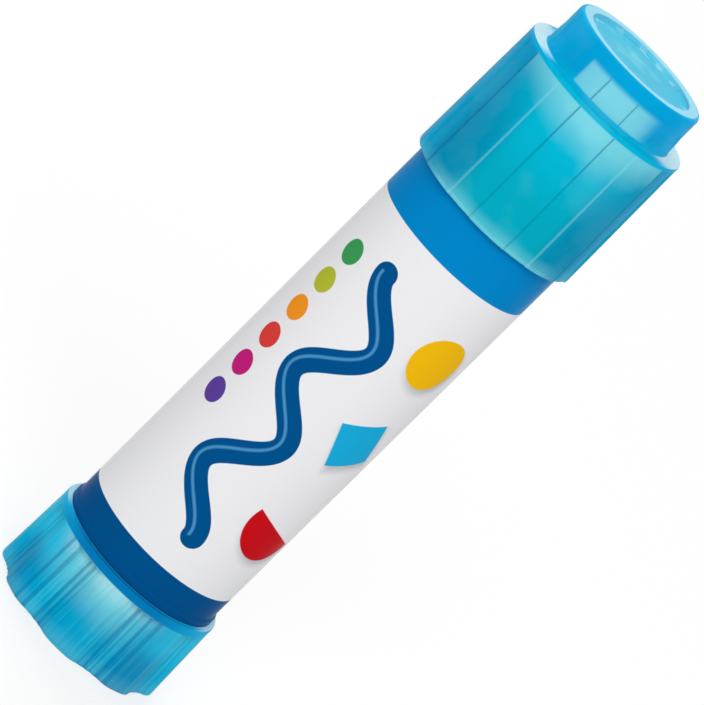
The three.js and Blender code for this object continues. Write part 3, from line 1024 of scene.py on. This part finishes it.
# A flower with round petals and a bare middle
def flowerDistance(tree, flower, across, up):
    x, y = fromSpot(tree, flower["spot"], across, up)
    out = length(tree, x, y)
    sector = math.pi / label["petals"]
    turn = calc(tree, "WRAP", calc(tree, "ARCTAN2", x, y), sector, -sector)
    petalX = calc(tree, "MULTIPLY_ADD", out, calc(tree, "COSINE", turn), flower["radius"] * -0.6)
    petalY = calc(tree, "MULTIPLY", out, calc(tree, "SINE", turn))
    petal = calc(tree, "SUBTRACT", length(tree, petalX, petalY), flower["radius"] * 0.4)
    middle = calc(tree, "SUBTRACT", flower["radius"] * 0.3, out)
    return calc(tree, "MAXIMUM", petal, middle)


# A row of dots, each in its own colour
def printDots(tree, row, across, up, under):
    step = calc(tree, "DIVIDE", calc(tree, "SUBTRACT", up, row["start"]), row["pitch"])
    last = len(rainbow) - 1
    index = calc(tree, "MINIMUM", calc(tree, "MAXIMUM", calc(tree, "ROUND", step), 0.0), last)
    x = calc(tree, "SUBTRACT", across, row["across"])
    y = calc(tree, "MULTIPLY", calc(tree, "SUBTRACT", step, index), row["pitch"])
    ramp = tree.nodes.new("ShaderNodeValToRGB")
    ramp.color_ramp.interpolation = "CONSTANT"
    stops = ramp.color_ramp.elements
    while len(stops) < len(rainbow):
        stops.new(1.0)
    for i, colour in enumerate(rainbow):
        stops[i].position = max(i - 0.5, 0) / len(rainbow)
        stops[i].color = colour
    tree.links.new(calc(tree, "DIVIDE", index, len(rainbow)), ramp.inputs[0])
    distance = calc(tree, "SUBTRACT", length(tree, x, y), row["radius"])
    return mixColour(tree, inked(tree, distance), under, ramp.outputs[0])


def printCutOuts(tree, across, up, under):
    shadeAcross = calc(tree, "SUBTRACT", across, label["shadeOffset"][0])
    shadeUp = calc(tree, "SUBTRACT", up, label["shadeOffset"][1])
    shapes = (
        (diamondDistance, label["diamond"]),
        (halfDiscDistance, label["halfDisc"]),
        (discDistance, label["disc"]),
    )
    for distanceTo, shape in shapes:
        shade = inked(tree, distanceTo(tree, shape, shadeAcross, shadeUp), label["shadeSoftness"])
        under = mixColour(tree, calc(tree, "MULTIPLY", shade, label["shade"]), under, inks["shade"])
        cover = inked(tree, distanceTo(tree, shape, across, up))
        under = mixColour(tree, cover, under, inks[shape["ink"]])
    return under


def makePrint():
    material, tree, shader = newMaterial("printedFilm")
    _, place = placeOf(tree)
    outer = barrel["body"] + label["gap"] + label["film"]
    across = calc(tree, "MULTIPLY", angleOf(tree), outer / mm)
    up = calc(tree, "DIVIDE", place["Z"], mm)
    colour = printCutOuts(tree, across, up, inks["paper"])
    for trail in label["trails"]:
        distance = trailDistance(tree, trail, across, up)
        colour = mixColour(tree, inked(tree, distance), colour, inks[trail["ink"]])
        thin = dict(trail, stroke=trail["stroke"] * 0.12)
        beside = calc(tree, "ADD", across, trail["stroke"] * 0.4)
        shine = inked(tree, trailDistance(tree, thin, beside, up), 0.12)
        colour = mixColour(tree, shine, colour, inks["shine"])
    for row in label["dotRows"]:
        colour = printDots(tree, row, across, up, colour)
    for flower in label["flowers"]:
        distance = flowerDistance(tree, flower, across, up)
        colour = mixColour(tree, inked(tree, distance), colour, inks[flower["ink"]])
    footBand = inked(tree, calc(tree, "SUBTRACT", up, label["footBand"]))
    colour = mixColour(tree, footBand, colour, inks["navy"])
    neckBand = inked(tree, calc(tree, "SUBTRACT", label["neckBand"], up))
    colour = mixColour(tree, neckBand, colour, inks["blue"])
    tree.links.new(colour, shader.inputs["Base Color"])
    shader.inputs["Specular IOR Level"].default_value = label["specular"]
    shader.inputs["IOR"].default_value = label["ior"]
    wrinkles = speckle(tree, 220.0, 2.0, (1, 1, 0.25))
    roughen(tree, shader, wrinkles, label["roughness"])
    emboss(tree, shader, wrinkles, label["wrinkle"])
    return material


makeLabel(makePrint())
print("label made")


# Glue, worn at the top, and what carries it
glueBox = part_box("glue")
glue = {
    "sides": 360,
    "radius": 8.0 * mm,
    "inCup": 7.1 * mm,
    "hole": 2.6 * mm,
    "overNut": 4.0 * mm,
    "nutDepth": 3.3 * mm,
    "stand": 5.3 * mm,
    "slotWidth": 1.6 * mm,
    "slotDepth": 0.35 * mm,
    "wear": 0.3 * mm,
    "wearSize": 2.2 * mm,
    "colour": paint(244, 242, 232),
    "smear": paint(228, 226, 212),
    "grainDepth": 0.05 * mm,
    "roughness": (0.32, 0.54),
    "subsurface": 0.25,
}
naturalPlastic = {
    "colour": paint(226, 229, 226),
    "cloudy": paint(206, 212, 212),
    "roughness": (0.36, 0.48),
    "transmission": 0.12,
    "grainDepth": 0.015 * mm,
}


def slotRelief(angle):
    pitch = 2 * math.pi / barrel["keys"]
    fromSlot = abs((angle + pitch / 2) % pitch - pitch / 2) * glue["radius"]
    half = glue["slotWidth"] / 2
    return glue["slotDepth"] * (1 - smoothStep(fromSlot, half - 0.05 * mm, half + 0.1 * mm))


# A short stub, rubbed down unevenly and a little domed
def makeGlue():
    foot = glueBox[0][2]
    top = glueBox[1][2]
    rim = top - glue["stand"]
    corners = [
        (glue["hole"], foot + glue["nutDepth"], 0, 0),
        (glue["overNut"], foot + glue["nutDepth"], 0.1 * mm, 0),
        (glue["overNut"], foot, 0.1 * mm, 0),
        (glue["inCup"], foot, 0.1 * mm, 0),
        (glue["inCup"], rim, 0.05 * mm, 0),
        (glue["radius"], rim, 0.05 * mm, 1),
        (glue["radius"], top - 1.1 * mm, 0, 1),
        (glue["radius"] - 0.12 * mm, top - 0.7 * mm, 0.3 * mm, 0.7),
        (glue["radius"] - 0.7 * mm, top - 0.25 * mm, 0.3 * mm, 0),
        (glue["radius"] - 2.0 * mm, top - 0.05 * mm, 0.5 * mm, 0),
        (glue["radius"] - 3.4 * mm, top, 0.5 * mm, 0),
        (glue["hole"] + 0.5 * mm, top - 0.1 * mm, 0.2 * mm, 0),
        (glue["hole"], top - 0.5 * mm, 0.1 * mm, 0),
    ]
    outline = rounded(corners, closed=True)
    piece = turned("glueStub", outline, evenly(glue["sides"]), slotRelief, closed=True)
    for vert in piece.data.vertices:
        worn = smoothStep(vert.co.z, top - 1.1 * mm, top - 0.2 * mm)
        swirl = noise.noise(vert.co / glue["wearSize"])
        vert.co.z -= glue["wear"] * worn * (0.5 + 0.5 * swirl)
    material, tree, shader = newMaterial("gluePaste")
    smear = speckle(tree, 420.0, 4.0, (1, 1.6, 3))
    colour = mixColour(tree, remap(tree, smear, 0.35, 0.7), glue["colour"], glue["smear"])
    tree.links.new(colour, shader.inputs["Base Color"])
    roughen(tree, shader, smear, glue["roughness"])
    emboss(tree, shader, speckle(tree, 1500.0, 4.0), glue["grainDepth"])
    shader.inputs["Subsurface Weight"].default_value = glue["subsurface"]
    shader.inputs["Subsurface Scale"].default_value = 1.5 * mm
    dress(piece, material)
    seat(piece, "carrier", "glue")


# Milky plastic of the carrier and the spindle, which keep their own solids
def dressMechanism():
    look = naturalPlastic
    material, tree, shader = newMaterial("naturalPlastic")
    cloud = remap(tree, speckle(tree, 240.0), 0.35, 0.7)
    tree.links.new(mixColour(tree, cloud, look["colour"], look["cloudy"]), shader.inputs["Base Color"])
    grain = speckle(tree, 1400.0)
    roughen(tree, shader, grain, look["roughness"])
    emboss(tree, shader, grain, look["grainDepth"])
    shader.inputs["Transmission Weight"].default_value = look["transmission"]
    for node in ("glue_carrier", "screw_spindle"):
        dress(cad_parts[node], material)


makeGlue()
dressMechanism()
print("glue and mechanism made")


# Studio
studio = {
    "floorSize": 12.0,
    "floorGap": 0.02 * mm,  # keeps the floor's face and the knob's foot apart
    "floor": (0.80, 0.80, 0.80, 1.0),
    "floorSeen": (0.34, 0.34, 0.34, 1.0),  # the share of the white floor that takes shadow
    "glow": 0.655,
    "world": 0.52,
    "backdrop": 1.0,
    "keyPlace": (0.06, -0.87, 0.76),
    "keySize": 0.7,
    "keyPower": 6.4,
    "backPlace": (-0.3, 0.7, 0.95),
    "backSize": 0.7,
    "backPower": 4.6,
}


def addLamp(name, place, size, power):
    data = bpy.data.lights.new(name, "AREA")
    data.shape = "DISK"
    data.size = size
    data.energy = power
    lamp = bpy.data.objects.new(name, data)
    lamp.location = place
    lamp.rotation_euler = (Vector(shot["aim"]) - Vector(place)).to_track_quat("-Z", "Y").to_euler()
    bpy.context.scene.collection.objects.link(lamp)


# 1 for what the camera sees, straight or through gloss or plastic
def seenRays(tree):
    paths = tree.nodes.new("ShaderNodeLightPath")
    seen = calc(tree, "MAXIMUM", paths.outputs["Is Camera Ray"], paths.outputs["Is Glossy Ray"])
    return calc(tree, "MAXIMUM", seen, paths.outputs["Is Transmission Ray"])


def mixBySeen(tree, light, seen, socket):
    both = tree.nodes.new("ShaderNodeMixShader")
    tree.links.new(seenRays(tree), both.inputs[0])
    tree.links.new(light.outputs[0], both.inputs[1])
    tree.links.new(seen.outputs[0], both.inputs[2])
    tree.links.new(both.outputs[0], socket)


# A white sheet that shows only the stick's soft shadow
def makeFloor():
    half = studio["floorSize"] / 2
    down = studio["floorGap"]
    verts = [(-half, -half, -down), (half, -half, -down), (half, half, -down), (-half, half, -down)]
    floor = addPiece("floor", verts, [(0, 1, 2, 3)])
    material, tree, shader = newMaterial("floorPaper")
    shader.inputs["Base Color"].default_value = studio["floor"]
    shader.inputs["Roughness"].default_value = 0.9
    seenFloor = tree.nodes.new("ShaderNodeBsdfDiffuse")
    seenFloor.inputs["Color"].default_value = studio["floorSeen"]
    glow = tree.nodes.new("ShaderNodeEmission")
    glow.inputs["Strength"].default_value = studio["glow"]
    white = tree.nodes.new("ShaderNodeAddShader")
    tree.links.new(seenFloor.outputs[0], white.inputs[0])
    tree.links.new(glow.outputs[0], white.inputs[1])
    mixBySeen(tree, shader, white, tree.nodes["Material Output"].inputs["Surface"])
    dress(floor, material)


def makeLight():
    world = bpy.data.worlds.new("studioWorld")
    world.use_nodes = True
    tree = world.node_tree
    light = tree.nodes["Background"]
    light.inputs["Strength"].default_value = studio["world"]
    light.inputs["Color"].default_value = (1, 1, 1, 1)
    backdrop = tree.nodes.new("ShaderNodeBackground")
    backdrop.inputs["Strength"].default_value = studio["backdrop"]
    backdrop.inputs["Color"].default_value = (1, 1, 1, 1)
    mixBySeen(tree, light, backdrop, tree.nodes["World Output"].inputs["Surface"])
    bpy.context.scene.world = world
    addLamp("keyLamp", studio["keyPlace"], studio["keySize"], studio["keyPower"])
    addLamp("backLamp", studio["backPlace"], studio["backSize"], studio["backPower"])
    bpy.context.scene.view_settings.view_transform = "Standard"


makeFloor()
makeLight()
print("studio lit")
